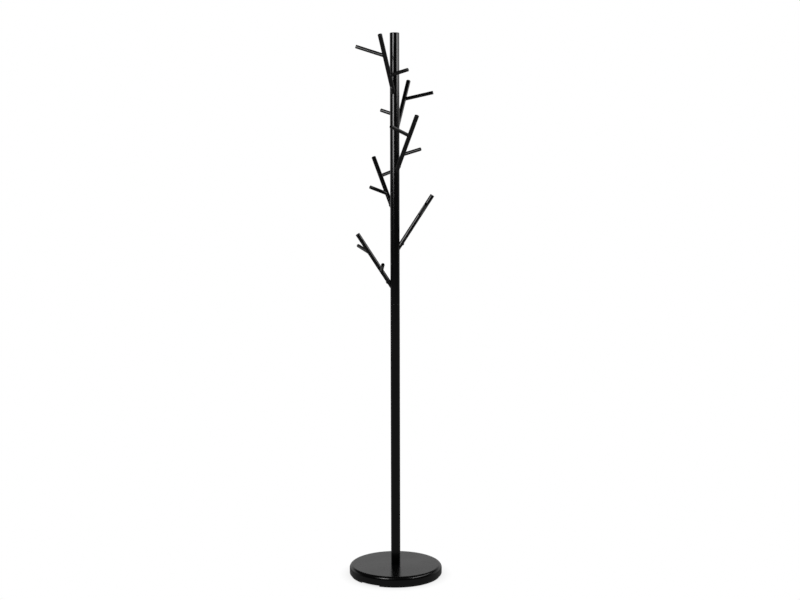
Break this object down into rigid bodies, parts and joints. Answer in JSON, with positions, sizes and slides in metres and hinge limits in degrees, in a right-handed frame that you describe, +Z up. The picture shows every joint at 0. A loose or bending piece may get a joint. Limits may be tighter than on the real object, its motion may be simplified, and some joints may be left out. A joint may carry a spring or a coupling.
{
  "type": "standing coat rack",
  "caption": "Free-standing coat rack: weighted round disc base, straight round pole and forked rod branches that spiral up its upper half, all black.",
  "frame": {"origin": "centre of the base disc, on the floor under the rubber feet", "axes": "+Z up along the pole, -Y towards the front, +X to the right as seen from the front"},
  "size_m": [0.32, 0.32, 1.85],
  "materials": {
    "base_paint": "satin",
    "pole_paint": "gloss",
    "branch_paint": "gloss",
    "cap_plastic": "satin",
    "black_screw": "satin",
    "bare_steel": "satin",
    "zinc_steel": "satin",
    "plate_steel": "matte",
    "ballast": "matte",
    "foot_rubber": "matte"
  },
  "bodies": {
    "root": {"base_cover": "base_paint", "ballast_disc": "ballast", "bottom_plate": "plate_steel", "rubber_feet": "foot_rubber", "base_bolt": "zinc_steel", "base_washer": "zinc_steel", "lock_washer": "zinc_steel", "lower_pole": "pole_paint", "foot_block": "bare_steel", "joint_socket": "bare_steel", "upper_pole": "pole_paint", "joint_spigot": "bare_steel", "top_cap": "cap_plastic", "branch_pegs": "bare_steel", "fixing_screws": "black_screw", "rod_plugs": "cap_plastic", "branch_rod_1": "branch_paint", "branch_rod_2": "branch_paint", "branch_rod_3": "branch_paint", "branch_rod_4": "branch_paint", "branch_rod_5": "branch_paint", "branch_rod_6": "branch_paint", "upper_twig_1": "branch_paint", "upper_twig_2": "branch_paint", "upper_twig_3": "branch_paint", "upper_twig_4": "branch_paint", "upper_twig_5": "branch_paint", "upper_twig_6": "branch_paint", "lower_twig_1": "branch_paint", "lower_twig_2": "branch_paint", "lower_twig_3": "branch_paint", "lower_twig_4": "branch_paint", "lower_twig_5": "branch_paint", "lower_twig_6": "branch_paint"}
  },
  "joints": []
}
